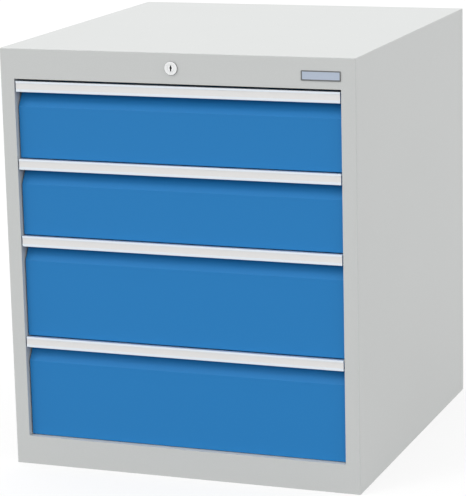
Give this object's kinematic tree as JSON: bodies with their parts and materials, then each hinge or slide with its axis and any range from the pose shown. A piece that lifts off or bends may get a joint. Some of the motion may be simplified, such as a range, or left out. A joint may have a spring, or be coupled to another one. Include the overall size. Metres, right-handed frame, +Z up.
{
  "type": "drawer cabinet",
  "caption": "Free-standing steel drawer cabinet with full-width aluminium grips, full-extension roller runners, a central lock and a flat base for reagents, bottles or tools",
  "frame": {"origin": "middle of the footprint of the housing, on the floor", "axes": "+Z up, +X to the right seen from the front, drawers open towards -Y"},
  "size_m": [0.705, 0.7385, 0.819],
  "materials": {
    "housing_paint": "light grey powder coat, fine satin texture",
    "front_paint": "blue powder coat, fine satin texture",
    "box_paint": "light grey powder coat",
    "grip_aluminium": "natural anodised, fine lines along the extrusion",
    "label_blank": "blank label strip",
    "lock_chrome": "nickel plated, polished",
    "plate_metal": "satin plate, blank",
    "zinc_steel": "zinc plated",
    "wheel_steel": "turned steel"
  },
  "bodies": {
    "cabinet": {"side_panel_left": "housing_paint", "side_panel_right": "housing_paint", "top_cover": "housing_paint", "back_panel": "housing_paint", "bottom_panel": "housing_paint", "header_rail": "housing_paint", "base_rail": "housing_paint", "front_uprights": "housing_paint", "rear_uprights": "housing_paint", "rail_rivets": "zinc_steel", "lock_body": "lock_chrome", "lock_nut": "zinc_steel", "lock_guides": "zinc_steel", "nameplate": "plate_metal", "cabinet_rails_1": "zinc_steel", "cabinet_rails_2": "zinc_steel", "cabinet_rails_3": "zinc_steel", "cabinet_rails_4": "zinc_steel"},
    "drawer_1": {"drawer_box_1": "box_paint", "drawer_front_1": "front_paint", "drawer_grip_1": "grip_aluminium", "label_strip_1": "label_blank", "drawer_rails_1": "zinc_steel"},
    "carrier_1": {"runner_carriers_1": "zinc_steel"},
    "front_wheels_1": {"front_wheels_1": "wheel_steel"},
    "middle_wheels_1": {"middle_wheels_1": "wheel_steel"},
    "rear_wheels_1": {"rear_wheels_1": "wheel_steel"},
    "drawer_2": {"drawer_box_2": "box_paint", "drawer_front_2": "front_paint", "drawer_grip_2": "grip_aluminium", "label_strip_2": "label_blank", "drawer_rails_2": "zinc_steel"},
    "carrier_2": {"runner_carriers_2": "zinc_steel"},
    "front_wheels_2": {"front_wheels_2": "wheel_steel"},
    "middle_wheels_2": {"middle_wheels_2": "wheel_steel"},
    "rear_wheels_2": {"rear_wheels_2": "wheel_steel"},
    "drawer_3": {"drawer_box_3": "box_paint", "drawer_front_3": "front_paint", "drawer_grip_3": "grip_aluminium", "label_strip_3": "label_blank", "drawer_rails_3": "zinc_steel"},
    "carrier_3": {"runner_carriers_3": "zinc_steel"},
    "front_wheels_3": {"front_wheels_3": "wheel_steel"},
    "middle_wheels_3": {"middle_wheels_3": "wheel_steel"},
    "rear_wheels_3": {"rear_wheels_3": "wheel_steel"},
    "drawer_4": {"drawer_box_4": "box_paint", "drawer_front_4": "front_paint", "drawer_grip_4": "grip_aluminium", "label_strip_4": "label_blank", "drawer_rails_4": "zinc_steel"},
    "carrier_4": {"runner_carriers_4": "zinc_steel"},
    "front_wheels_4": {"front_wheels_4": "wheel_steel"},
    "middle_wheels_4": {"middle_wheels_4": "wheel_steel"},
    "rear_wheels_4": {"rear_wheels_4": "wheel_steel"},
    "lock_cylinder": {"lock_cylinder": "lock_chrome", "lock_cam": "zinc_steel"},
    "transfer_bar": {"transfer_bar": "zinc_steel"},
    "lock_bar": {"lock_bar": "zinc_steel", "lock_hooks": "zinc_steel"}
  },
  "joints": [
    {"name": "drawer_1_slide", "type": "slide", "parent": "cabinet", "child": "drawer_1", "axis": [0, -1, 0], "range_m": [0, 0.6]},
    {"name": "carrier_1_slide", "type": "slide", "parent": "cabinet", "child": "carrier_1", "axis": [0, -1, 0], "range_m": [0, 0.3]},
    {"name": "front_wheels_1_turn", "type": "hinge", "parent": "carrier_1", "child": "front_wheels_1", "pos_m": [0, -0.304, 0.6335], "axis": [1, 0, 0], "continuous": true},
    {"name": "middle_wheels_1_turn", "type": "hinge", "parent": "carrier_1", "child": "middle_wheels_1", "pos_m": [0, -0.005, 0.6335], "axis": [1, 0, 0], "continuous": true},
    {"name": "rear_wheels_1_turn", "type": "hinge", "parent": "carrier_1", "child": "rear_wheels_1", "pos_m": [0, 0.294, 0.6335], "axis": [1, 0, 0], "continuous": true},
    {"name": "drawer_2_slide", "type": "slide", "parent": "cabinet", "child": "drawer_2", "axis": [0, -1, 0], "range_m": [0, 0.6]},
    {"name": "carrier_2_slide", "type": "slide", "parent": "cabinet", "child": "carrier_2", "axis": [0, -1, 0], "range_m": [0, 0.3]},
    {"name": "front_wheels_2_turn", "type": "hinge", "parent": "carrier_2", "child": "front_wheels_2", "pos_m": [0, -0.304, 0.4835], "axis": [1, 0, 0], "continuous": true},
    {"name": "middle_wheels_2_turn", "type": "hinge", "parent": "carrier_2", "child": "middle_wheels_2", "pos_m": [0, -0.005, 0.4835], "axis": [1, 0, 0], "continuous": true},
    {"name": "rear_wheels_2_turn", "type": "hinge", "parent": "carrier_2", "child": "rear_wheels_2", "pos_m": [0, 0.294, 0.4835], "axis": [1, 0, 0], "continuous": true},
    {"name": "drawer_3_slide", "type": "slide", "parent": "cabinet", "child": "drawer_3", "axis": [0, -1, 0], "range_m": [0, 0.6]},
    {"name": "carrier_3_slide", "type": "slide", "parent": "cabinet", "child": "carrier_3", "axis": [0, -1, 0], "range_m": [0, 0.3]},
    {"name": "front_wheels_3_turn", "type": "hinge", "parent": "carrier_3", "child": "front_wheels_3", "pos_m": [0, -0.304, 0.2835], "axis": [1, 0, 0], "continuous": true},
    {"name": "middle_wheels_3_turn", "type": "hinge", "parent": "carrier_3", "child": "middle_wheels_3", "pos_m": [0, -0.005, 0.2835], "axis": [1, 0, 0], "continuous": true},
    {"name": "rear_wheels_3_turn", "type": "hinge", "parent": "carrier_3", "child": "rear_wheels_3", "pos_m": [0, 0.294, 0.2835], "axis": [1, 0, 0], "continuous": true},
    {"name": "drawer_4_slide", "type": "slide", "parent": "cabinet", "child": "drawer_4", "axis": [0, -1, 0], "range_m": [0, 0.6]},
    {"name": "carrier_4_slide", "type": "slide", "parent": "cabinet", "child": "carrier_4", "axis": [0, -1, 0], "range_m": [0, 0.3]},
    {"name": "front_wheels_4_turn", "type": "hinge", "parent": "carrier_4", "child": "front_wheels_4", "pos_m": [0, -0.304, 0.0835], "axis": [1, 0, 0], "continuous": true},
    {"name": "middle_wheels_4_turn", "type": "hinge", "parent": "carrier_4", "child": "middle_wheels_4", "pos_m": [0, -0.005, 0.0835], "axis": [1, 0, 0], "continuous": true},
    {"name": "rear_wheels_4_turn", "type": "hinge", "parent": "carrier_4", "child": "rear_wheels_4", "pos_m": [0, 0.294, 0.0835], "axis": [1, 0, 0], "continuous": true},
    {"name": "lock_bar_slide", "type": "slide", "parent": "cabinet", "child": "lock_bar", "axis": [0, 0, -1], "range_m": [0, 0.012]},
    {"name": "transfer_bar_slide", "type": "slide", "parent": "cabinet", "child": "transfer_bar", "axis": [-1, 0, 0], "range_m": [0, 0.01698]},
    {"name": "lock_turn", "type": "hinge", "parent": "cabinet", "child": "lock_cylinder", "pos_m": [-0.0035, -0.368, 0.7905], "axis": [0, 1, 0], "range_deg": [0, 90]}
  ],
  "couplings": [
    {"joint": "carrier_1_slide", "follows": "drawer_1_slide", "ratio": 0.5},
    {"joint": "front_wheels_1_turn", "follows": "drawer_1_slide", "rad_per_m": 45.455},
    {"joint": "middle_wheels_1_turn", "follows": "drawer_1_slide", "rad_per_m": 45.455},
    {"joint": "rear_wheels_1_turn", "follows": "drawer_1_slide", "rad_per_m": 45.455},
    {"joint": "carrier_2_slide", "follows": "drawer_2_slide", "ratio": 0.5},
    {"joint": "front_wheels_2_turn", "follows": "drawer_2_slide", "rad_per_m": 45.455},
    {"joint": "middle_wheels_2_turn", "follows": "drawer_2_slide", "rad_per_m": 45.455},
    {"joint": "rear_wheels_2_turn", "follows": "drawer_2_slide", "rad_per_m": 45.455},
    {"joint": "carrier_3_slide", "follows": "drawer_3_slide", "ratio": 0.5},
    {"joint": "front_wheels_3_turn", "follows": "drawer_3_slide", "rad_per_m": 45.455},
    {"joint": "middle_wheels_3_turn", "follows": "drawer_3_slide", "rad_per_m": 45.455},
    {"joint": "rear_wheels_3_turn", "follows": "drawer_3_slide", "rad_per_m": 45.455},
    {"joint": "carrier_4_slide", "follows": "drawer_4_slide", "ratio": 0.5},
    {"joint": "front_wheels_4_turn", "follows": "drawer_4_slide", "rad_per_m": 45.455},
    {"joint": "middle_wheels_4_turn", "follows": "drawer_4_slide", "rad_per_m": 45.455},
    {"joint": "rear_wheels_4_turn", "follows": "drawer_4_slide", "rad_per_m": 45.455},
    {"joint": "transfer_bar_slide", "follows": "lock_bar_slide", "ratio": 1.4142},
    {"joint": "lock_turn", "follows": "lock_bar_slide", "rad_per_m": 130.9}
  ]
}
